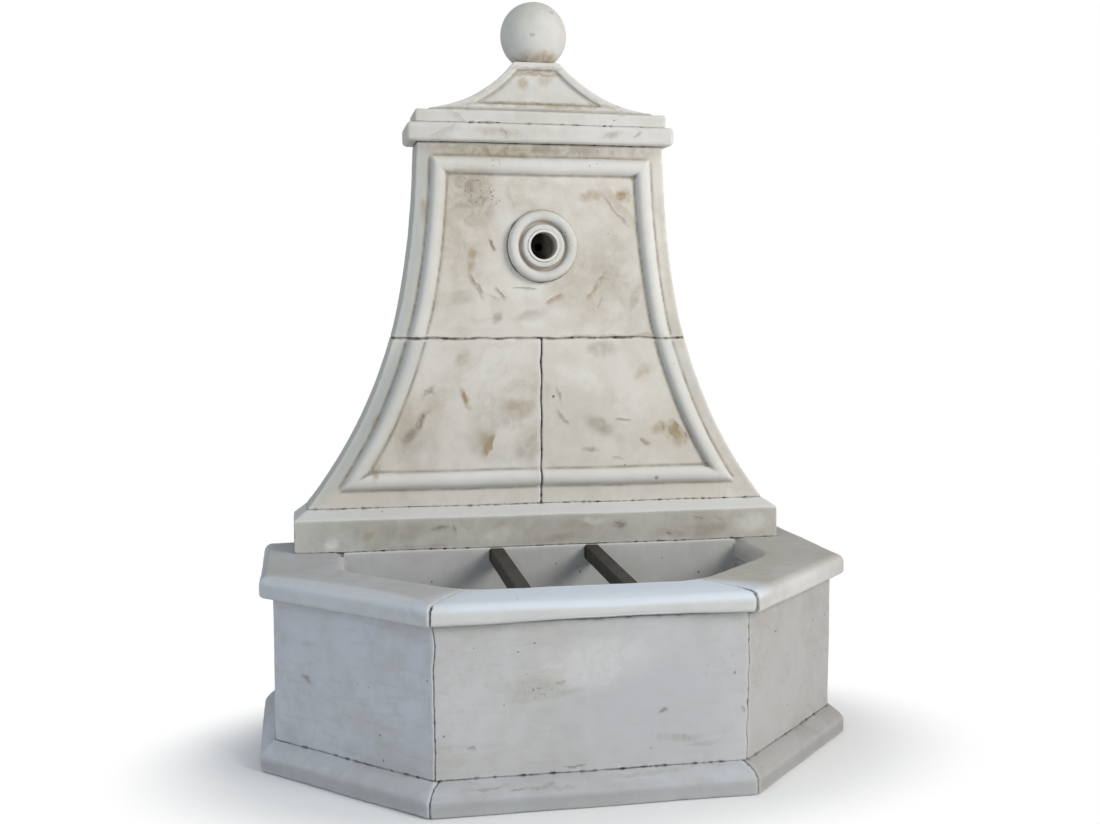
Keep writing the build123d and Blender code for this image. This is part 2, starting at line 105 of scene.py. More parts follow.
# Chips on the arrises and along the joints: size and depth in metres, place in the noise, and
# the level of the noise where a chip starts and where it is deepest
chip_size = 0.03
chip_depth = 0.003
chip_place = 7.3
chip_range = (0.12, 0.55)
joint_chip_size = 0.011
joint_chip_depth = 0.0022
joint_chip_place = 9.1
joint_chip_range = (0.1, 0.5)

# Joints, in metres: filled ones overlap, open ones are narrowed and wander
joint_reach = 0.006
joint_overlap = 0.003
joint_narrowing = 0.0004
wander_reach = 0.025
wander_size = 0.05
wander_height = 0.004
wander_place = 5.7

# Worn front arrises of the front coping: depth, middle and spread along it, least share, and reach of each
arris_wear = 0.009
worn_middle = 0.05
worn_spread = 0.2
worn_least = 0.2
worn_upper_reach = 0.03
worn_lower_reach = 0.022

# The ball beds this much deeper than its solid, and the frame of the panel stands this high on its face
ball_sink = 0.005
bead_height = 0.014

# The kind of a stone is the first word of its node's name
basin_kinds = ("wall", "plinth", "coping")
panel_kinds = ("lower", "upper")

# Dirt in the joints between two kinds of stone, and in some of them painted shadow; other joints are filled and
# show no line
joint_dirt_and_shadow = {
    ("lower", "lower"): 1.0,
    ("lower", "upper"): 1.0,
    ("base", "lower"): 0.5,
    # Painted shadow under the cornice, with dirt
    ("cornice", "upper"): 0.6,
    ("cornice", "pediment"): 0.4,
    # Painted shadow under the coping, with dirt
    ("coping", "wall"): 0.35,
    ("base", "coping"): 0.6,
    ("base", "basin"): 0.5,
    ("coping", "coping"): 0.55,
    ("plinth", "plinth"): 0.3,
    ("plinth", "wall"): 0.64,
    ("wall", "wall"): 0.62,
    # Painted contact shadow round the rosette, with dirt
    ("spout", "upper"): 0.9,
    ("ball", "pediment"): 0.3,
}

# Dirt and painted shade in the creases, and dirt in the nicks in the arrises, by kind of stone
usual_crease_dirt_and_shade = 0.8
crease_dirt_and_shade = {"pediment": 0.35, "spout": 0.4}
nicked = {"base": 0.9, "cornice": 0.6, "pediment": 0.4, "coping": 0.5, "spout": 0.5}

# Colour and strength of the deposit and painted shade in hollows
hollow_deposit_and_shade = {"spout": ((0.46, 0.36, 0.25, 1), 0.85)}
usual_hollow_deposit_and_shade = ((0.21, 0.17, 0.12, 1), 0.4)

# Light and dark tone of the stones, linear. The tones of the left sides are bluish, with painted sky light, and
# those of the right sides darker, with painted shade.
tones = {
    "panel": ((0.65, 0.62, 0.57, 1), (0.545, 0.505, 0.44, 1)),
    "panel_low": ((0.665, 0.635, 0.59, 1), (0.595, 0.56, 0.50, 1)),
    "cap": ((0.64, 0.625, 0.595, 1), (0.56, 0.54, 0.50, 1)),
    "base": ((0.51, 0.50, 0.465, 1), (0.42, 0.40, 0.355, 1)),
    "rim_front": ((0.60, 0.605, 0.605, 1), (0.54, 0.54, 0.53, 1)),
    "rim_left": ((0.56, 0.58, 0.625, 1), (0.50, 0.51, 0.53, 1)),
    "rim_right": ((0.56, 0.55, 0.535, 1), (0.48, 0.465, 0.445, 1)),
    "wall_left": ((0.55, 0.57, 0.62, 1), (0.48, 0.485, 0.50, 1)),
    "wall": ((0.50, 0.50, 0.51, 1), (0.44, 0.435, 0.425, 1)),
    "wall_right": ((0.42, 0.41, 0.41, 1), (0.36, 0.345, 0.335, 1)),
    "plinth_left": ((0.54, 0.56, 0.61, 1), (0.46, 0.465, 0.48, 1)),
    "plinth": ((0.46, 0.475, 0.51, 1), (0.40, 0.40, 0.41, 1)),
    "plinth_right": ((0.365, 0.36, 0.36, 1), (0.31, 0.30, 0.295, 1)),
}

# Tone, settled dust and stain of each stone; the tones of the left and right sides hold painted light and shade
stone_looks = {
    "plinth_left_rear": ("plinth_left", 0.0, 0.15),
    "plinth_left": ("plinth_left", 0.0, 0.15),
    "plinth_front": ("plinth", 0.0, 0.15),
    "plinth_right": ("plinth_right", 0.0, 0.2),
    "plinth_right_rear": ("plinth_right", 0.0, 0.2),
    "wall_left": ("wall_left", 0.0, 0.15),
    "wall_front": ("wall", 0.0, 0.12),
    "wall_right": ("wall_right", 0.0, 0.2),
    "coping_left": ("rim_left", 0.35, 0.25),
    "coping_front": ("rim_front", 0.0, 0.0),
    "coping_right": ("rim_right", 0.35, 0.25),
    "lower_block_left": ("panel_low", 0.0, 0.25),
    "lower_block_right": ("panel_low", 0.0, 0.25),
    "upper_block": ("panel", 0.0, 0.25),
    "basin_floor": ("wall", 0.0, 0.12),
    "basin_back_wall": ("wall", 0.0, 0.12),
    "base_course": ("base", 0.0, 0.35),
    "spout_rosette": ("cap", 0.0, 0.15),
    "cornice_slab": ("cap", 0.0, 0.15),
    "pediment_cap": ("cap", 0.0, 0.15),
    "ball_finial": ("cap", 0.0, 0.15),
}

# Tones of stains and dirt, and of painted sky sheen, highlight and shade
ochre = (0.345, 0.26, 0.155, 1)
umber = (0.32, 0.285, 0.23, 1)
smear_brown = (0.255, 0.22, 0.17, 1)
soot_and_shadow = (0.07, 0.055, 0.04, 1)
grime_and_shade = (0.12, 0.095, 0.065, 1)
grey_grime_and_shade = (0.135, 0.13, 0.12, 1)
chalk = (0.74, 0.73, 0.70, 1)
sky_sheen_blue = (0.64, 0.695, 0.765, 1)
bead_white = (0.665, 0.67, 0.66, 1)
shade_grey = (0.44, 0.455, 0.44, 1)
wall_shade = (0.42, 0.43, 0.455, 1)
foot_grey = (0.27, 0.275, 0.27, 1)

# Strength of the tints
skim_share = 0.6
skim_relief = 0.2
underside_shade = 0.45
chamfer_highlight = 0.7
brushed_umber = 0.22
foot_dirt = 0.4
bead_bleach = 0.5
left_face_shade = 0.6
pit_darkness = 0.75
joint_darkness = 0.85
basin_wear = 0.25
usual_wear = 0.4

# Least share of smeared marks and of dirt and painted shade where they are patchy
smoke_least = 0.45
basin_dirt_and_shade_least = 0.15
usual_dirt_and_shade_least = 0.4

# Faces that look up, down, forward or left: the part of the normal where each starts and is full
top_faces = (0.5, 0.95)
upper_faces = (0.0, 0.5)
chamfer_faces = (0.3, 0.6)
under_faces = (0.15, -0.5)
front_faces = (-0.1, -0.35)
left_faces = (-0.15, -0.6)

# Levels of the dirty foot of the plinth, and rise over the panel's face that counts as its bead, in metres
foot_levels = (0.045, 0.022)
bead_rise = (0.003, 0.008)

# Noise patterns of the stone: scale, detail, roughness and distortion
broad_mottle = (3.6, 4, 0.5, 0.0)
close_mottle = (24.0, 8, 0.65, 0.0)
veil_pattern = (7.0, 5, 0.6, 0.4)
skim_pattern = (9.0, 5, 0.55, 1.4)
skim_places = (4.5, 2, 0.5, 0.0)
brush_pattern = (9.0, 5, 0.6, 0.0)
smoke_pattern = (26.0, 5, 0.6, 1.2)
patch_pattern = (17.0, 5, 0.65, 0.0)
ragged_pattern = (70.0, 6, 0.7, 0.0)
nick_pattern = (42.0, 4, 0.6, 0.0)
grain_pattern = (60.0, 6, 0.6, 0.0)

# The brush marks are drawn out along the stone
brush_stretch = (1.0, 1.0, 0.12)

# Where in such a pattern a tint starts and is full
mottle_range = (0.38, 0.6)
veil_range = (0.52, 0.72)
skim_place_range = (0.48, 0.62)
brush_range = (0.5, 0.72)
cloud_range = (0.36, 0.62)
crease_range = (0.08, 0.4)
joint_range = (0.3, 0.62)
nick_range = (0.6, 0.66)

# Ragged edges of the marks: scale of the noise, and how far it shifts them in metres
ragged_shifts = ((24.0, 0.022), (95.0, 0.008))

# Pits: cells per metre, share of the cells that hold one, and largest radius in metres
crowded_pits = (150.0, 0.55, 0.0026)
scattered_pits = (34.0, 0.25, 0.0024)
wall_pits = (48.0, 0.12, 0.0019)

# Plain finishes: darker and lighter tone, scale of the mottle, roughness and metallic share
plain_finishes = {
    "pin_steel": ((0.42, 0.42, 0.43, 1), (0.58, 0.58, 0.59, 1), 60, 0.4, 1.0),
    "dull_brass": ((0.42, 0.30, 0.13, 1), (0.60, 0.45, 0.21, 1), 45, 0.35, 1.0),
    "dull_copper": ((0.40, 0.19, 0.11, 1), (0.58, 0.31, 0.19, 1), 40, 0.35, 1.0),
    "black_rubber": ((0.013, 0.011, 0.008, 1), (0.022, 0.019, 0.014, 1), 70, 0.9, 0.0),
}
plain_range = (0.35, 0.65)
plain_grain = 8

# Iron bars, pipe sleeve with painted shade deeper in its bore, and the bush behind it with painted light on one
# side; lengths in metres
iron_tones = ((0.02, 0.0185, 0.0165, 1), (0.04, 0.035, 0.029, 1))
iron_grain = (90.0, 5, 0.6)
rust_pattern = (30.0, 6, 0.65)
rust_range = (0.4, 0.66)
pipe_tones = ((0.60, 0.585, 0.54, 1), (0.74, 0.72, 0.68, 1))
bore_shade_tones = ((0.66, 0.62, 0.56, 1), (0.13, 0.11, 0.085, 1))
pipe_mottle = (60.0, 5, 0.6)
pipe_grain = 120.0
bore_shade_depth = 0.1
bore_edge = 0.0322
bore_light_tones = ((0.013, 0.011, 0.008, 1), (0.30, 0.265, 0.215, 1))
bore_light_side = (0.002, 0.034)
bore_light_pattern = (70.0, 5, 0.6)
bore_light_range = (0.1, 0.6)

# Painted bluish sky sheen on the rim, seen from above: x and y of the middle, length, width, angle and strength
painted_sky_sheen_patches = [
    (0.02, -0.335, 0.72, 0.30, 0, 1.0),
    (-0.50, -0.20, 0.56, 0.12, -45, 0.45),
]

# Marks seen on the stones, by tone. A blot fades to all sides and a skim ends in one sharp edge.
# Each has the x and z of its middle, its length and width in metres, its angle and its strength.
stone_marks = {
    "ochre": [
        ("blot", -0.415, 0.453, 0.04, 0.024, 35, 0.5),
        ("blot", -0.105, 0.469, 0.06, 0.04, 0, 0.3),
        ("blot", 0.08, 0.464, 0.09, 0.034, 0, 0.35),
        ("blot", 0.104, 0.465, 0.014, 0.01, 0, 0.6),
        ("blot", -0.175, 1.19, 0.36, 0.16, 85, 0.4),
        ("blot", -0.013, 1.55, 0.16, 0.05, 0, 0.9),
        ("blot", 0.195, 1.245, 0.05, 0.045, 40, 0.98),
        ("skim", 0.172, 1.215, 0.12, 0.05, -48, 0.45),
        ("blot", 0.117, 1.243, 0.07, 0.035, 10, 0.59),
        ("blot", -0.17, 1.095, 0.09, 0.034, 80, 0.78),
        ("blot", -0.1, 1.343, 0.3, 0.026, 2, 0.65),
        ("skim", 0.136, 1.029, 0.1, 0.02, 55, 0.8),
        ("blot", -0.278, 1.207, 0.06, 0.02, 85, 0.6),
        ("blot", 0.15, 0.911, 0.34, 0.014, 1, 0.75),
        ("blot", -0.205, 0.907, 0.14, 0.012, 0, 0.5),
        ("blot", -0.394, 0.717, 0.04, 0.022, 60, 0.7),
        ("blot", -0.29, 0.72, 0.22, 0.12, 55, 0.3),
        ("blot", -0.392, 0.598, 0.05, 0.016, 60, 0.6),
        ("skim", 0.035, 0.995, 0.05, 0.026, 32, 0.78),
        ("blot", -0.184, 0.768, 0.062, 0.02, -65, 1.0),
        ("skim", -0.15, 0.664, 0.075, 0.06, 250, 0.91),
        ("blot", -0.06, 0.74, 0.11, 0.06, 10, 0.59),
        ("blot", -0.193, 0.858, 0.06, 0.035, 60, 0.45),
        ("blot", 0.247, 0.83, 0.06, 0.03, 50, 0.52),
        ("skim", 0.325, 0.672, 0.08, 0.05, -55, 1.0),
        ("blot", 0.29, 0.69, 0.05, 0.03, 20, 0.78),
        ("blot", 0.253, 0.657, 0.04, 0.018, -35, 0.72),
        ("blot", 0.105, 1.02, 0.2, 0.16, 30, 0.23),
        ("blot", -0.15, 1.18, 0.2, 0.09, 60, 0.29),
        ("blot", 0.0, 1.452, 0.42, 0.014, 0, 0.9),
        ("blot", -0.012, 1.535, 0.13, 0.014, 0, 0.8),
        ("blot", -0.012, 1.522, 0.15, 0.012, 0, 0.7),
        ("blot", -0.043, 1.502, 0.034, 0.03, 0, 0.59),
        ("blot", 0.007, 1.508, 0.044, 0.028, 10, 0.45),
        ("blot", -0.11, 1.383, 0.13, 0.03, -5, 0.45),
    ],
    "umber": [
        ("blot", -0.252, 0.464, 0.05, 0.024, 0, 0.6),
        ("blot", -0.296, 0.424, 0.16, 0.016, 0, 0.4),
        ("blot", -0.323, 0.462, 0.12, 0.05, 8, 0.4),
        ("blot", 0.025, 0.434, 0.16, 0.024, 4, 0.45),
        ("blot", 0.31, 0.436, 0.12, 0.024, 0, 0.4),
        ("blot", -0.218, 0.05, 0.12, 0.008, 4, 0.6),
        ("blot", -0.1, 0.046, 0.14, 0.008, 0, 0.5),
        ("blot", -0.089, 0.05, 0.03, 0.012, 0, 0.6),
        ("blot", 0.1, 0.056, 0.2, 0.01, 2, 0.35),
        ("blot", 0.184, 0.463, 0.045, 0.028, 10, 0.55),
        ("blot", 0.433, 0.47, 0.034, 0.01, -20, 0.6),
        ("blot", 0.433, 0.45, 0.06, 0.03, 0, 0.45),
        ("blot", 0.38, 0.44, 0.16, 0.04, 0, 0.3),
        # Umber band under the cornice: dirt, with painted shadow
        ("blot", 0.0, 1.355, 0.9, 0.06, 0, 0.72),
        ("skim", -0.079, 1.236, 0.07, 0.016, -75, 0.5),
        ("blot", -0.135, 1.225, 0.17, 0.12, 0, 0.33),
        ("blot", 0.175, 1.1, 0.12, 0.17, 0, 0.28),
        ("blot", -0.025, 0.961, 0.09, 0.03, 15, 0.45),
        ("blot", -0.15, 1.255, 0.11, 0.06, -25, 0.72),
        ("blot", -0.195, 1.275, 0.06, 0.05, 0, 0.45),
        ("blot", -0.122, 1.13, 0.034, 0.011, -65, 1.0),
        ("skim", -0.16, 1.035, 0.075, 0.014, -55, 0.78),
        ("blot", -0.189, 1.005, 0.06, 0.04, 10, 0.45),
        ("blot", -0.108, 0.958, 0.035, 0.022, 60, 0.59),
        ("blot", 0.227, 1.003, 0.07, 0.028, 75, 0.39),
        ("blot", -0.286, 0.716, 0.075, 0.026, 60, 0.98),
        ("blot", -0.315, 0.68, 0.06, 0.03, 50, 0.72),
        ("blot", -0.27, 0.785, 0.05, 0.016, 40, 0.65),
        ("blot", -0.035, 0.65, 0.1, 0.07, 60, 0.45),
        ("blot", 0.146, 0.884, 0.09, 0.045, 0, 0.45),
        ("blot", 0.137, 0.7, 0.085, 0.045, -30, 0.59),
        ("skim", 0.048, 0.72, 0.055, 0.012, -50, 0.72),
        ("blot", 0.04, 0.775, 0.04, 0.01, -75, 0.65),
        ("blot", 0.12, 0.642, 0.05, 0.014, 5, 0.59),
        ("skim", -0.205, 1.419, 0.07, 0.02, -35, 0.39),
        ("skim", -0.094, 1.381, 0.04, 0.014, -50, 0.72),
        ("blot", 0.16, 1.386, 0.06, 0.016, 15, 0.45),
        ("skim", -0.23, 1.38, 0.08, 0.024, 30, 0.39),
        ("blot", -0.123, 0.24, 0.15, 0.06, 5, 0.4),
        ("blot", 0.171, 0.12, 0.11, 0.02, -5, 0.45),
        ("blot", 0.14, 0.176, 0.034, 0.01, 30, 0.52),
        ("blot", -0.06, 0.225, 0.1, 0.02, 5, 0.39),
        ("blot", -0.56, 0.212, 0.03, 0.014, -30, 0.65),
        ("blot", 0.23, 0.105, 0.08, 0.016, 0, 0.33),
    ],
    # Dark lines and specks: grime, and painted shadow along the raised edges of smears
    "soot_and_shadow": [
        ("skim", -0.1, 1.011, 0.046, 0.01, -42, 0.53),
        ("skim", -0.118, 1.002, 0.04, 0.008, -20, 0.21),
        ("skim", -0.042, 1.025, 0.065, 0.008, 0, 0.49),
        ("skim", 0.176, 1.208, 0.11, 0.008, -48, 0.4),
        ("skim", -0.122, 1.126, 0.026, 0.008, -65, 0.53),
        ("skim", -0.15, 1.012, 0.04, 0.008, -60, 0.3),
        ("skim", 0.199, 0.708, 0.048, 0.008, 0, 0.49),
        ("skim", 0.188, 0.617, 0.034, 0.01, 5, 0.3),
        ("skim", -0.283, 0.712, 0.045, 0.01, 65, 0.53),
        ("skim", -0.268, 0.783, 0.034, 0.01, -25, 0.3),
        ("skim", 0.05, 0.715, 0.04, 0.008, -48, 0.26),
        ("skim", 0.32, 0.678, 0.045, 0.01, -55, 0.26),
        ("skim", 0.14, 0.992, 0.034, 0.01, 60, 0.3),
        ("skim", 0.25, 0.657, 0.03, 0.008, -25, 0.26),
        ("blot", 0.283, 0.571, 0.014, 0.012, -45, 0.68),
        ("skim", 0.225, 1.388, 0.024, 0.008, 30, 0.44),
        ("skim", -0.03, 1.604, 0.016, 0.01, 0, 0.44),
        ("skim", 0.02, 1.66, 0.014, 0.008, 0, 0.44),
        ("skim", -0.245, 0.12, 0.02, 0.01, -10, 0.44),
        ("skim", 0.305, 0.17, 0.018, 0.008, -60, 0.44),
        ("skim", 0.14, 0.175, 0.022, 0.008, 25, 0.4),
        ("skim", -0.07, 0.245, 0.026, 0.008, 8, 0.36),
        ("skim", 0.379, 0.472, 0.03, 0.007, -30, 0.42),
        ("blot", 0.308, 0.435, 0.014, 0.006, 0, 0.51),
        ("blot", -0.215, 0.463, 0.012, 0.018, 0, 0.38),
        ("skim", 0.184, 0.466, 0.03, 0.007, -15, 0.34),
        ("blot", 0.187, 0.462, 0.026, 0.012, 20, 0.4),
        ("blot", -0.243, 0.465, 0.036, 0.01, 10, 0.4),
        ("skim", -0.158, 0.044, 0.03, 0.006, 8, 0.4),
        ("blot", -0.04, 0.076, 0.05, 0.006, 2, 0.5),
    ],
    # Veils of painted shade on the front faces
    "shade_grey": [
        ("blot", -0.325, 1.1, 0.7, 0.1, 82, 1.0),
        ("blot", -0.42, 0.73, 0.6, 0.11, 57, 1.0),
        ("blot", 0.42, 0.73, 0.6, 0.07, -57, 0.35),
        ("blot", 0.12, 0.2, 0.5, 0.4, 0, 0.6),
    ],
    "chalk": [
        ("blot", -0.499, 0.437, 0.05, 0.034, 10, 0.8),
        ("blot", -0.113, 0.446, 0.09, 0.04, 15, 0.5),
        ("blot", 0.118, 0.474, 0.07, 0.02, 0, 0.5),
        ("blot", 0.52, 0.455, 0.1, 0.05, 0, 0.4),
        ("blot", -0.03, 1.03, 0.12, 0.07, 15, 0.6),
        ("blot", 0.02, 0.955, 0.16, 0.05, 10, 0.5),
        ("blot", -0.09, 1.2, 0.05, 0.16, 15, 0.4),
        ("blot", 0.06, 1.29, 0.2, 0.04, 0, 0.4),
        ("blot", 0.277, 1.1, 0.4, 0.05, -83, 0.7),
        ("blot", -0.1, 0.83, 0.18, 0.08, 30, 0.4),
        ("blot", -0.12, 0.6, 0.2, 0.05, 5, 0.5),
        ("blot", 0.1, 0.81, 0.16, 0.07, -20, 0.5),
        ("blot", 0.24, 0.755, 0.1, 0.08, 30, 0.4),
        ("blot", 0.0, 0.28, 0.3, 0.12, 10, 0.3),
    ],
    "pits": [
        ("blot", -0.15, 1.25, 0.13, 0.075, -25, 1.0),
        ("blot", 0.135, 0.992, 0.05, 0.03, 55, 1.0),
        ("blot", 0.155, 1.16, 0.03, 0.016, 80, 1.0),
        ("blot", -0.12, 1.315, 0.06, 0.025, 0, 0.78),
        ("blot", 0.12, 1.315, 0.07, 0.025, 0, 0.91),
        ("blot", 0.31, 0.68, 0.05, 0.03, -30, 0.91),
        ("blot", -0.17, 1.447, 0.08, 0.016, 5, 1.0),
        ("blot", 0.19, 1.447, 0.08, 0.02, -10, 1.0),
        ("blot", 0.05, 1.15, 0.07, 0.06, 0, 0.91),
        ("blot", -0.123, 0.244, 0.1, 0.07, 0, 0.5),
        ("blot", 0.264, 0.255, 0.1, 0.1, 0, 0.25),
        ("blot", 0.16, 0.125, 0.12, 0.04, 0, 0.3),
    ],
}


def positions(mesh):
    """Vertex places of a mesh as an array."""
    flat = np.empty(len(mesh.vertices) * 3, np.float32)
    mesh.vertices.foreach_get("co", flat)
    return flat.reshape(-1, 3).astype(float)


def directions(mesh):
    """Vertex normals of a mesh as an array."""
    flat = np.empty(len(mesh.vertices) * 3, np.float32)
    mesh.vertex_normals.foreach_get("vector", flat)
    return flat.reshape(-1, 3).astype(float)


def place(mesh, points):
    """Moves the vertices of a mesh to the given places."""
    mesh.vertices.foreach_set("co", points.astype(np.float32).ravel())
    mesh.update()


def paint(mesh, name, values):
    """Stores one number per vertex for the materials to read."""
    layer = mesh.attributes.new(name, "FLOAT", "POINT")
    layer.data.foreach_set("value", values.astype(np.float32))


def wobble(points, size, start):
    """Smooth random shift of every point, about -1 to 1 on each axis."""
    moved = points / size + start
    return np.array([noise.noise_vector(p) for p in moved.tolist()])


def speckle(points, size, start):
    """Smooth random number at every point, about -1 to 1."""
    moved = points / size + start
    return np.array([noise.noise(p) for p in moved.tolist()])


def step(values, low, high):
    """Soft step from 0 at low to 1 at high."""
    t = np.clip((values - low) / (high - low), 0, 1)
    return t * t * (3 - 2 * t)


def along_normals(shifts, normal):
    """How far each shift goes along the normal of its point."""
    return np.einsum("ij,ij->i", shifts, normal)


def with_modifier(mesh, kind, **settings):
    """A new mesh, as one modifier makes it from the given one."""
    holder = bpy.data.objects.new("holder", mesh)
    scene.collection.objects.link(holder)
    modifier = holder.modifiers.new(kind.lower(), kind)
    for name, value in settings.items():
        setattr(modifier, name, value)
    made = holder.evaluated_get(bpy.context.evaluated_depsgraph_get())
    result = bpy.data.meshes.new_from_object(made)
    bpy.data.objects.remove(holder)
    return result


def smoothing_shift(mesh, points, rounds):
    """How far smoothing moves each point of a mesh."""
    return positions(with_modifier(mesh, "SMOOTH", factor=soften_factor, iterations=rounds)) - points


def blurred(mesh, values):
    """Values of the vertices, each averaged with its neighbours a few times."""
    ends = np.empty(len(mesh.edges) * 2, np.int32)
    mesh.edges.foreach_get("vertices", ends)
    first, second = ends.reshape(-1, 2).T
    count = len(values)
    neighbours = np.bincount(first, minlength=count) + np.bincount(second, minlength=count)
    for _ in range(blur_rounds):
        total = np.bincount(first, values[second], count) + np.bincount(second, values[first], count)
        values = (values + total / np.maximum(neighbours, 1)) / 2
    return values


def kind_of(node):
    """First word of a node's name, which tells the kind of stone."""
    return node.split("_")[0]


def near_joints(node, points, normal, trees):
    """How near each point is to a joint, how much dirt and painted shadow that joint has, and the pull that
    closes a filled joint.
    """
    level = 0.7
    near = np.zeros(len(points))
    dirt_and_shade = np.zeros(len(points))
    pull = np.zeros_like(points)
    for other, tree in trees.items():
        if other == node:
            continue
        low, high = (np.array(corner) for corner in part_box(other))
        inside = ((points > low - joint_reach) & (points < high + joint_reach)).all(1)
        pair = tuple(sorted((kind_of(node), kind_of(other))))
        strength = joint_dirt_and_shadow.get(pair, 0)
        for index in np.flatnonzero(inside).tolist():
            where, _, _, gap = tree.find_nearest(points[index], joint_reach)
            if gap is None:
                continue
            close = 1 - gap / joint_reach
            near[index] = max(near[index], close)
            if strength == 0 or (pair == ("coping", "coping") and normal[index, 2] > level):
                across = np.array(where) - points[index]
                pull[index] = across * min(2 * close, 1) * (1 + joint_overlap / max(gap, joint_narrowing))
            else:
                dirt_and_shade[index] = max(dirt_and_shade[index], close * strength)
    return near, dirt_and_shade, pull


def wander(points, across, along, centre):
    """Lets a straight joint wander a little, the same for the stones on both sides of it."""
    near = np.exp(-(((points[:, across] - centre) / wander_reach) ** 2))
    line = np.zeros_like(points)
    line[:, 0] = points[:, along]
    points[:, across] += near * speckle(line, wander_size, wander_place + centre) * wander_height


def wander_joints(node, points):
    """Lets the joints of the panel and the wall joints at the front wander."""
    if kind_of(node) == "lower":
        wander(points, 0, 2, 0.0)
    if kind_of(node) in panel_kinds:
        wander(points, 2, 0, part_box("upper_block")[0][2])
    if kind_of(node) == "wall":
        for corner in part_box("wall_front"):
            wander(points, 0, 2, corner[0])


def worn_arris(points):
    """How deep the front arrises of the front coping are worn, most near its middle."""
    low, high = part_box("coping_front")
    upper = np.hypot(points[:, 1] - low[1], points[:, 2] - high[2])
    lower = np.hypot(points[:, 1] - low[1], points[:, 2] - low[2])
    middle = np.exp(-(((points[:, 0] - worn_middle) / worn_spread) ** 2))
    worn = np.exp(-((upper / worn_upper_reach) ** 2)) + np.exp(-((lower / worn_lower_reach) ** 2))
    return arris_wear * (worn_least + (1 - worn_least) * middle) * worn


def weathered(node, trees):
    """Copy of a stone with rounded and chipped arrises, slightly uneven faces and closed or wandering joints."""
    size = grid_of.get(node, grid)
    mesh = with_modifier(frame["nodes"][node].data.copy(), "REMESH", mode="VOXEL", voxel_size=size)
    points = positions(mesh)
    normal = directions(mesh)
    near, dirt_and_shade, pull = near_joints(node, points, normal, trees)
    rounds = soften_rounds_of.get(node, soften_rounds)
    shift = smoothing_shift(mesh, points, rounds)
    broad = smoothing_shift(mesh, points, cavity_rounds)
    inward = -along_normals(shift, normal)
    cavity = along_normals(broad, normal) / cavity_shift * (1 - near)
    edge = np.clip(inward / sharp_shift, 0, 1) * (1 - near)
    crease = np.clip(-inward / crease_shift, 0, 1) * (1 - near)

    points += shift * np.where((inward > 0) | (rounds > soften_rounds), 1 - near, 0)[:, None]
    chipped = edge * step(speckle(points, chip_size, chip_place), *chip_range)
    broken = near * (dirt_and_shade > 0) * step(speckle(points, joint_chip_size, joint_chip_place), *joint_chip_range)
    lost = chipped * chip_depth + broken * joint_chip_depth - near * joint_narrowing
    if node == "coping_front":
        lost += worn_arris(points)
    points += pull - normal * lost[:, None]
    points += wobble(points, wave_size, wave_place) * wave_height
    points += wobble(points, ripple_size, ripple_place) * ripple_height
    wander_joints(node, points)
    if node == "ball_finial":
        points[:, 2] -= ball_sink
    points[:, 2] = np.maximum(points[:, 2], 0)

    place(mesh, points)
    paint(mesh, "edge", edge)
    paint(mesh, "crease", blurred(mesh, crease))
    paint(mesh, "hollow", np.clip(cavity, 0, 1))
    paint(mesh, "ridge", np.clip(-cavity, 0, 1))
    paint(mesh, "joint", dirt_and_shade)
    mesh.polygons.foreach_set("use_smooth", np.ones(len(mesh.polygons), bool))
    mesh.materials.clear()
    return mesh


class Graph:
    """The nodes of a material or of the world, added with short calls."""

    def __init__(self, owner):
        owner.use_nodes = True
        self.owner = owner
        self.tree = owner.node_tree

    def node(self, kind, inputs=(), **settings):
        made = self.tree.nodes.new(kind)
        for name, value in settings.items():
            setattr(made, name, value)
        for name, value in dict(inputs).items():
            self.feed(made.inputs[name], value)
        return made

    def feed(self, socket, value):
        if isinstance(value, bpy.types.NodeSocket):
            self.tree.links.new(value, socket)
        else:
            socket.default_value = value

    def math(self, operation, a, b=0.0):
        return self.node("ShaderNodeMath", {0: a, 1: b}, operation=operation).outputs[0]

    def times(self, a, b):
        return self.math("MULTIPLY", a, b)

    def plus(self, a, b):
        return self.math("ADD", a, b)

    def larger(self, a, b):
        return self.math("MAXIMUM", a, b)

    def vector(self, operation, a, b):
        return self.node("ShaderNodeVectorMath", {0: a, 1: b}, operation=operation).outputs[0]

    def scaled(self, vector, scale):
        inputs = {0: vector, "Scale": scale}
        return self.node("ShaderNodeVectorMath", inputs, operation="SCALE").outputs[0]

    def length(self, vector):
        return self.node("ShaderNodeVectorMath", {0: vector}, operation="LENGTH").outputs["Value"]

    def axes(self, vector):
        return self.node("ShaderNodeSeparateXYZ", {0: vector}).outputs

    def step(self, value, low, high):
        inputs = {"Value": value, "From Min": low, "From Max": high}
        return self.node("ShaderNodeMapRange", inputs, interpolation_type="SMOOTHSTEP").outputs[0]

    def mix(self, factor, a, b):
        made = self.node("ShaderNodeMix", data_type="RGBA")
        for socket, value in zip((made.inputs[0], made.inputs[6], made.inputs[7]), (factor, a, b)):
            self.feed(socket, value)
        return made.outputs[2]

    def tint(self, colour, tone, mask, strength):
        """The colour, turned towards a tone where the mask is, by the given strength."""
        return self.mix(self.times(mask, strength), colour, tone)

    def seen(self):
        """1 for the rays of the camera, mirrors and glass, and 0 for the light itself."""
        rays = self.node("ShaderNodeLightPath").outputs
        direct = self.larger(rays["Is Camera Ray"], rays["Is Glossy Ray"])
        return self.larger(direct, rays["Is Transmission Ray"])


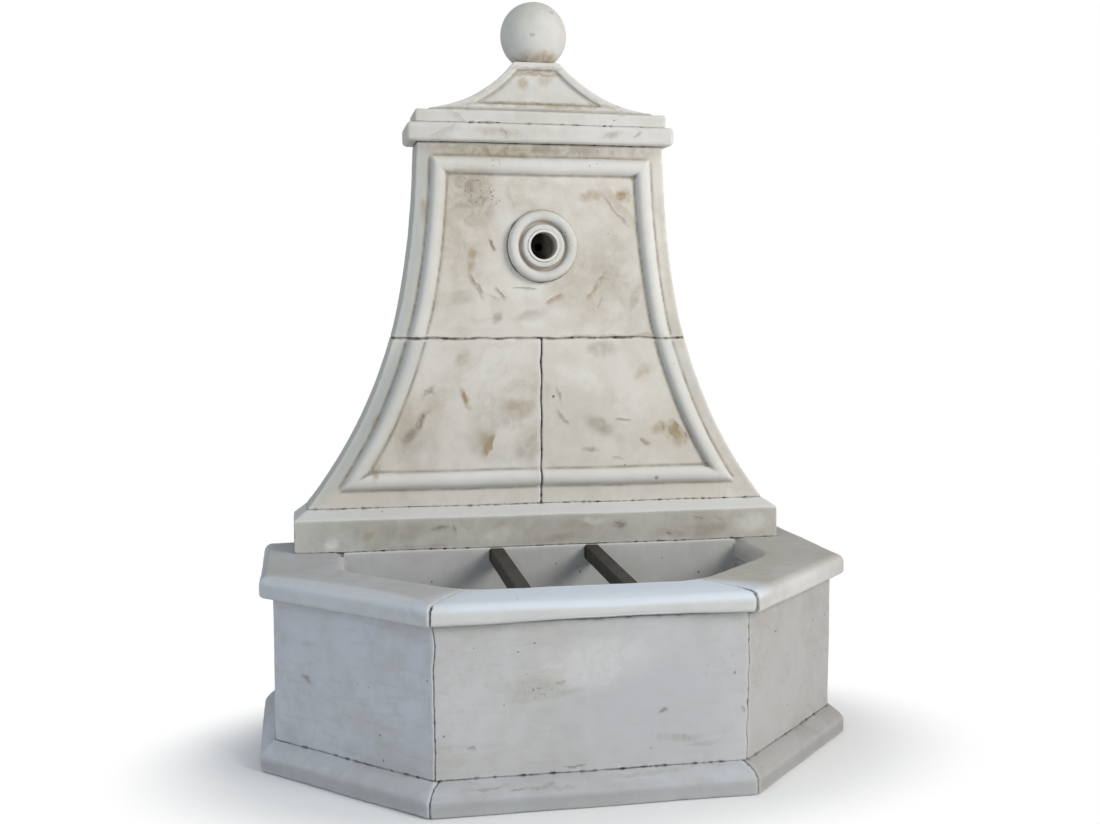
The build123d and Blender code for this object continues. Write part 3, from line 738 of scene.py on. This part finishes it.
class Finish(Graph):
    """The nodes of a new material."""

    def __init__(self, name):
        super().__init__(bpy.data.materials.new(name))
        self.shader = self.tree.nodes["Principled BSDF"]
        self.spot = self.node("ShaderNodeTexCoord").outputs["Object"]

    def noise_at(self, spot, scale, detail=3.0, roughness=0.5, distortion=0.0):
        inputs = {"Vector": spot, "Scale": scale, "Detail": detail}
        inputs.update({"Roughness": roughness, "Distortion": distortion})
        return self.node("ShaderNodeTexNoise", inputs).outputs

    def noise(self, *pattern):
        return self.noise_at(self.spot, *pattern)[0]

    def own_frame(self, spot, where=(0, 0, 0), turn=(0, 0, 0), scale=(1, 1, 1)):
        """The place on the surface in a frame of its own, such as that of one mark."""
        inputs = {"Vector": spot, "Location": where, "Rotation": turn, "Scale": scale}
        return self.node("ShaderNodeMapping", inputs, vector_type="TEXTURE").outputs[0]

    def attribute(self, name):
        return self.node("ShaderNodeAttribute", attribute_name=name).outputs["Fac"]

    def bump(self, height, strength, distance, normal=None):
        inputs = {"Height": height, "Strength": strength, "Distance": distance}
        if normal is not None:
            inputs["Normal"] = normal
        return self.node("ShaderNodeBump", inputs).outputs[0]

    def shade(self, **inputs):
        """Feeds the shader, whose sockets have a space for each underscore, and gives the material."""
        for name, value in inputs.items():
            self.feed(self.shader.inputs[name.replace("_", " ")], value)
        return self.owner


def ragged_spot(graph):
    """The place on the stone, shifted by noise so that marks drawn with it have ragged edges."""
    middle = (0.5, 0.5, 0.5)
    spot = graph.spot
    for scale, reach in ragged_shifts:
        cloud = graph.noise_at(graph.spot, scale)["Color"]
        centred = graph.vector("SUBTRACT", cloud, middle)
        spot = graph.vector("ADD", spot, graph.scaled(centred, reach))
    return spot


def blot(graph, local):
    """Mark that fades to all sides, in its own frame, where its edge is at 1."""
    edge, core = 1.2, 0.3
    return graph.step(graph.length(local), edge, core)


def skim(graph, local):
    """Mark that thickens to one side and ends there in a sharp edge, in its own frame."""
    thin, thick = -1.2, 0.9
    end, sharp = 1.08, 0.95
    tip, body = 1.1, 0.5
    along, _, over = graph.axes(local)
    inside = graph.times(graph.step(over, thin, thick), graph.step(over, end, sharp))
    return graph.times(inside, graph.step(graph.math("ABSOLUTE", along), tip, body))


def marked(graph, spot, marks):
    """Where the marks of one tone are, 0 to 1."""
    deep = 1000.0
    total = 0.0
    for form, x, z, length, width, angle, strength in marks:
        turn = (0, -math.radians(angle), 0)
        local = graph.own_frame(spot, (x, 0, z), turn, (length / 2, deep, width / 2))
        mask = blot(graph, local) if form == "blot" else skim(graph, local)
        total = graph.larger(total, graph.times(mask, strength))
    return total


def marks_on(node):
    """The marks of each tone whose middle lies on the front of a stone."""
    low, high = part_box(node)
    on_node = {}
    for tone, listed in stone_marks.items():
        on_node[tone] = [m for m in listed if low[0] <= m[1] <= high[0] and low[2] <= m[2] <= high[2]]
    return on_node


def painted_sky_sheen(graph, spot):
    """Where painted bluish sky sheen lies on the rim, 0 to 1."""
    edge, core = 1.1, 0.75
    tall = 1000.0
    total = 0.0
    for x, y, length, width, angle, strength in painted_sky_sheen_patches:
        turn = (0, 0, math.radians(angle))
        local = graph.own_frame(spot, (x, y, 0), turn, (length / 2, width / 2, tall))
        mask = graph.step(graph.length(local), edge, core)
        total = graph.larger(total, graph.times(mask, strength))
    return total


def pits(graph, spot, scale, share, radius):
    """Small ragged holes in some of the cells of a random pattern, 1 inside them."""
    cells = graph.node("ShaderNodeTexVoronoi", {"Vector": spot, "Scale": scale})
    random = graph.node("ShaderNodeSeparateColor", {"Color": cells.outputs["Color"]})
    chosen = graph.math("GREATER_THAN", random.outputs[0], 1 - share)
    size = graph.times(random.outputs[1], radius * scale)
    hole = graph.math("LESS_THAN", cells.outputs["Distance"], size)
    return graph.times(chosen, hole)


def clouded(graph, pattern, least):
    """Cloudy pattern that breaks up marks and dirt, from the least value to 1."""
    cloud = graph.step(graph.noise(*pattern), *cloud_range)
    return graph.plus(graph.times(cloud, 1 - least), least)


def mottled(graph, light, dark):
    """Ground of the stone, cloudy between its two tones."""
    broad_share = 0.6
    broad = graph.times(graph.noise(*broad_mottle), broad_share)
    close = graph.times(graph.noise(*close_mottle), 1 - broad_share)
    return graph.mix(graph.step(graph.plus(broad, close), *mottle_range), dark, light)


def skim_coat(graph):
    """Patches of a thin top coat, each with one sharp edge."""
    start, edge, end = 0.5, 0.53, 0.68
    layer = graph.noise(*skim_pattern)
    coat = graph.times(graph.step(layer, start, edge), graph.step(layer, end, edge))
    return graph.times(coat, graph.step(graph.noise(*skim_places), *skim_place_range))


def tinted_by_kind(graph, node, colour, spot, facing, settled):
    """The colour, with what only some kinds of stone have, and painted sky sheen, highlight and shade on some of
    their faces.
    """
    kind = kind_of(node)
    sideways, _, upward = facing
    if kind == "coping":
        colour = graph.tint(colour, umber, graph.step(upward, *top_faces), settled)
        # Painted bluish sky sheen on the upward faces of the rim
        sky_sheen = graph.times(painted_sky_sheen(graph, spot), graph.step(upward, *upper_faces))
        colour = graph.mix(sky_sheen, colour, sky_sheen_blue)
        # Painted shade on the downward faces of the rim
        colour = graph.tint(colour, shade_grey, graph.step(upward, *under_faces), underside_shade)
    if kind == "base":
        # Painted highlight on the upward chamfer of the base course
        colour = graph.tint(colour, bead_white, graph.step(upward, *chamfer_faces), chamfer_highlight)
    if kind in ("wall", "plinth"):
        flattened = graph.own_frame(spot, scale=brush_stretch)
        brushed = graph.step(graph.noise_at(flattened, *brush_pattern)[0], *brush_range)
        colour = graph.tint(colour, umber, brushed, brushed_umber)
    if kind == "plinth":
        colour = graph.tint(colour, foot_grey, graph.step(graph.axes(spot)[2], *foot_levels), foot_dirt)
    if kind in panel_kinds:
        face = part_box(node)[0][1] + bead_height
        foot, top = bead_rise
        raised = graph.step(graph.axes(graph.spot)[1], face - foot, face - top)
        colour = graph.tint(colour, bead_white, raised, bead_bleach)
        # Painted shade on the faces of the panel that look left
        colour = graph.tint(colour, shade_grey, graph.step(sideways, *left_faces), left_face_shade)
    return colour


def pitted(graph, spot, kind, crowd):
    """Pits all over the stone, crowded in some places, 1 inside them."""
    hole = graph.larger(graph.times(pits(graph, spot, *crowded_pits), crowd), pits(graph, spot, *scattered_pits))
    if kind == "wall":
        hole = graph.larger(hole, pits(graph, spot, *wall_pits))
    return hole


def dirty_and_shaded(graph, kind, least):
    """Dirt in joints, creases and nicks, with painted shade in the creases and painted shadow in some joints, 0
    to 1, with the least share of it where it is patchy.
    """
    spread, shift = 2.4, -0.2
    # Painted shade with dirt in the creases
    crease = graph.step(graph.attribute("crease"), *crease_range)
    crease = graph.times(crease, crease_dirt_and_shade.get(kind, usual_crease_dirt_and_shade))
    ragged = graph.plus(graph.times(graph.noise(*ragged_pattern), spread), shift)
    joint = graph.step(graph.times(graph.attribute("joint"), ragged), *joint_range)
    dirt_and_shade = graph.times(graph.larger(joint, crease), clouded(graph, patch_pattern, least))
    nicks = graph.times(graph.step(graph.noise(*nick_pattern), *nick_range), graph.attribute("edge"))
    return graph.larger(dirt_and_shade, graph.times(nicks, nicked.get(kind, 0)))


def cast_stone(node, tone, settled, stain):
    """Hand-finished cast stone: mottled, with its own marks, pitted, and dirty in its joints, with painted light
    and shade on some faces, creases, hollows and joints.
    """
    kind = kind_of(node)
    on_basin = kind in basin_kinds
    marks = marks_on(node)
    graph = Finish("stone_" + node)
    spot = ragged_spot(graph)
    colour = mottled(graph, *tones[tone])
    veil = graph.step(graph.noise(*veil_pattern), *veil_range)
    colour = graph.tint(colour, umber, veil, stain)
    patch = skim_coat(graph)
    colour = graph.tint(colour, umber, patch, stain * skim_share)

    facing = graph.axes(graph.node("ShaderNodeNewGeometry").outputs["Normal"])
    forward = graph.step(facing[1], *front_faces)
    colour = tinted_by_kind(graph, node, colour, spot, facing, settled)

    smoke = graph.times(clouded(graph, smoke_pattern, smoke_least), forward)
    # Painted shade in veils on the front faces, in the shade tone of the walls on wall stones
    painted_shade_veils = graph.times(marked(graph, graph.spot, marks["shade_grey"]), forward)
    colour = graph.mix(painted_shade_veils, colour, wall_shade if kind == "wall" else shade_grey)
    for mark_tone, mark_colour in (("ochre", ochre), ("umber", smear_brown), ("chalk", chalk)):
        colour = graph.tint(colour, mark_colour, marked(graph, spot, marks[mark_tone]), smoke)
    # Dark lines of grime and painted shadow along the raised edges of smears
    lines = graph.times(marked(graph, spot, marks["soot_and_shadow"]), forward)
    colour = graph.mix(lines, colour, grime_and_shade)

    crowd = graph.times(marked(graph, spot, marks["pits"]), forward)
    hole = pitted(graph, spot, kind, crowd)
    colour = graph.tint(colour, soot_and_shadow, hole, pit_darkness)

    worn = graph.larger(graph.attribute("edge"), graph.attribute("ridge"))
    colour = graph.tint(colour, chalk, worn, basin_wear if on_basin else usual_wear)
    # Deposit with painted shade in hollows
    hollow_tone, most = hollow_deposit_and_shade.get(kind, usual_hollow_deposit_and_shade)
    colour = graph.tint(colour, hollow_tone, graph.attribute("hollow"), most)
    # Dirt in joints, creases and nicks, with painted shade in the creases and painted shadow in some joints
    dirt_and_shade = dirty_and_shaded(graph, kind, basin_dirt_and_shade_least if on_basin else usual_dirt_and_shade_least)
    colour = graph.tint(colour, grey_grime_and_shade if on_basin else grime_and_shade, dirt_and_shade, joint_darkness)

    relief = graph.math("SUBTRACT", graph.times(patch, skim_relief), graph.larger(hole, lines))
    normal = graph.bump(relief, strength=0.5, distance=0.0015)
    normal = graph.bump(graph.noise(*grain_pattern), strength=0.25, distance=0.0016, normal=normal)
    return graph.shade(Base_Color=colour, Roughness=0.9, Specular_IOR_Level=0.25, Normal=normal)


def iron(name):
    """Dark forged iron with a trace of rust."""
    graph = Finish(name)
    rust = graph.step(graph.noise(*rust_pattern), *rust_range)
    normal = graph.bump(graph.noise(*iron_grain), strength=0.35, distance=0.0015)
    colour = graph.mix(rust, *iron_tones)
    return graph.shade(Base_Color=colour, Roughness=0.62, Metallic=0.3, Normal=normal)


def pipe(name):
    """Pale pipe, with painted shade that darkens its bore deeper in."""
    low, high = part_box("spout_sleeve")
    middle = ((low[0] + high[0]) / 2, 0, (low[2] + high[2]) / 2)
    flat = (1, 1000, 1)
    graph = Finish(name)
    radius = graph.length(graph.own_frame(graph.spot, middle, scale=flat))
    inside = graph.math("LESS_THAN", radius, bore_edge)
    depth = graph.step(graph.axes(graph.spot)[1], low[1], low[1] + bore_shade_depth)
    pale = graph.mix(graph.noise(*pipe_mottle), *pipe_tones)
    # Painted shade, darker deeper into the bore
    colour = graph.mix(inside, pale, graph.mix(depth, *bore_shade_tones))
    normal = graph.bump(graph.noise(pipe_grain), strength=0.1, distance=0.0005)
    return graph.shade(Base_Color=colour, Roughness=0.55, Normal=normal)


def silted_rubber(name):
    """Black rubber bush, with painted light on one side of its face, like the lit wall of the bore."""
    graph = Finish(name)
    side = graph.step(graph.axes(graph.spot)[0], *bore_light_side)
    # Painted light on one side of the bush
    bore_light = graph.times(side, graph.step(graph.noise(*bore_light_pattern), *bore_light_range))
    return graph.shade(Base_Color=graph.mix(bore_light, *bore_light_tones), Roughness=0.9)


def plain(name):
    """Lightly mottled finish for pipes, pins and seals."""
    low, high, scale, roughness, metallic = plain_finishes[name]
    graph = Finish(name)
    colour = graph.mix(graph.step(graph.noise(scale, 5, 0.6), *plain_range), low, high)
    normal = graph.bump(graph.noise(scale * plain_grain), strength=0.08, distance=0.0005)
    return graph.shade(Base_Color=colour, Roughness=roughness, Metallic=metallic, Normal=normal)


def make_stones():
    """Replaces each stone by its weathered copy."""
    depsgraph = bpy.context.evaluated_depsgraph_get()
    trees = {node: BVHTree.FromObject(frame["nodes"][node], depsgraph) for node in stone_looks}
    for node, look in stone_looks.items():
        mesh = weathered(node, trees)
        mesh.materials.append(cast_stone(node, *look))
        stone = bpy.data.objects.new("stone_" + node, mesh)
        scene.collection.objects.link(stone)
        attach(stone, "fountain")
        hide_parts(node)


def finish_fittings():
    """Gives the iron, pipes, pins and seals their finishes."""
    finish_of_slot = {
        "forged_iron": iron("dark_iron"),
        "pipe_plastic": pipe("pale_pipe"),
        "steel_pins": plain("pin_steel"),
        "brass_fittings": plain("dull_brass"),
        "copper_pipe": plain("dull_copper"),
        "black_rubber": plain("black_rubber"),
    }
    finish_of_node = {"sleeve_bush": silted_rubber("silted_rubber")}
    for part in frame["record"]["subparts"]:
        finish = finish_of_node.get(part["node"]) or finish_of_slot.get(part["material_slot"])
        if finish:
            node = frame["nodes"][part["node"]]
            node.data.materials.clear()
            node.data.materials.append(finish)


def make_floor():
    """Pale floor that fades to the white of the background away from the fountain."""
    edges = (-floor_half, floor_half)
    corners = [(x, y, floor_level) for y in edges for x in edges]
    mesh = bpy.data.meshes.new("floor")
    mesh.from_pydata(corners, [], [(0, 1, 3, 2)])
    graph = Finish("pale_floor")
    graph.shade(Base_Color=floor_colour, Roughness=0.9, Specular_IOR_Level=0.1)
    away = graph.length(graph.own_frame(graph.spot, scale=floor_spread))
    fade = graph.times(graph.seen(), graph.step(away, *floor_fade))
    glow = graph.node("ShaderNodeEmission", {"Color": white, "Strength": 1.0})
    blend = graph.node("ShaderNodeMixShader", {0: fade, 1: graph.shader.outputs[0], 2: glow.outputs[0]})
    graph.feed(graph.tree.nodes["Material Output"].inputs["Surface"], blend.outputs[0])
    mesh.materials.append(graph.owner)
    floor = bpy.data.objects.new("floor", mesh)
    scene.collection.objects.link(floor)


def make_world():
    """Soft sky light, with a white background where it is seen."""
    graph = Graph(bpy.data.worlds.new("studio"))
    graph.tree.nodes.clear()
    sky = graph.node("ShaderNodeBackground", {"Color": sky_colour, "Strength": sky_strength})
    backdrop = graph.node("ShaderNodeBackground", {"Color": white})
    blend = graph.node("ShaderNodeMixShader", {0: graph.seen(), 1: sky.outputs[0], 2: backdrop.outputs[0]})
    graph.node("ShaderNodeOutputWorld", {"Surface": blend.outputs[0]})
    scene.world = graph.owner


def make_lamp(name, where, aim, size, power, colour):
    """Soft square lamp that points at a place on the fountain."""
    data = bpy.data.lights.new(name, "AREA")
    data.size = size
    data.energy = power
    data.color = colour
    lamp = bpy.data.objects.new(name, data)
    lamp.location = where
    lamp.rotation_euler = (Vector(aim) - Vector(where)).to_track_quat("-Z", "Y").to_euler()
    scene.collection.objects.link(lamp)


def make_camera():
    """Camera at the photograph's viewing angle."""
    data = bpy.data.cameras.new("camera")
    data.lens = camera_lens
    data.sensor_width = camera_sensor
    camera = bpy.data.objects.new("camera", data)
    camera.location = camera_place
    camera.rotation_euler = (math.pi / 2 - camera_dip, 0, -camera_turn)
    scene.collection.objects.link(camera)
    scene.camera = camera


make_stones()
finish_fittings()
make_floor()
make_world()
for lamp_name, settings in lamps.items():
    make_lamp(lamp_name, *settings)
make_camera()
scene.view_settings.view_transform = "Standard"
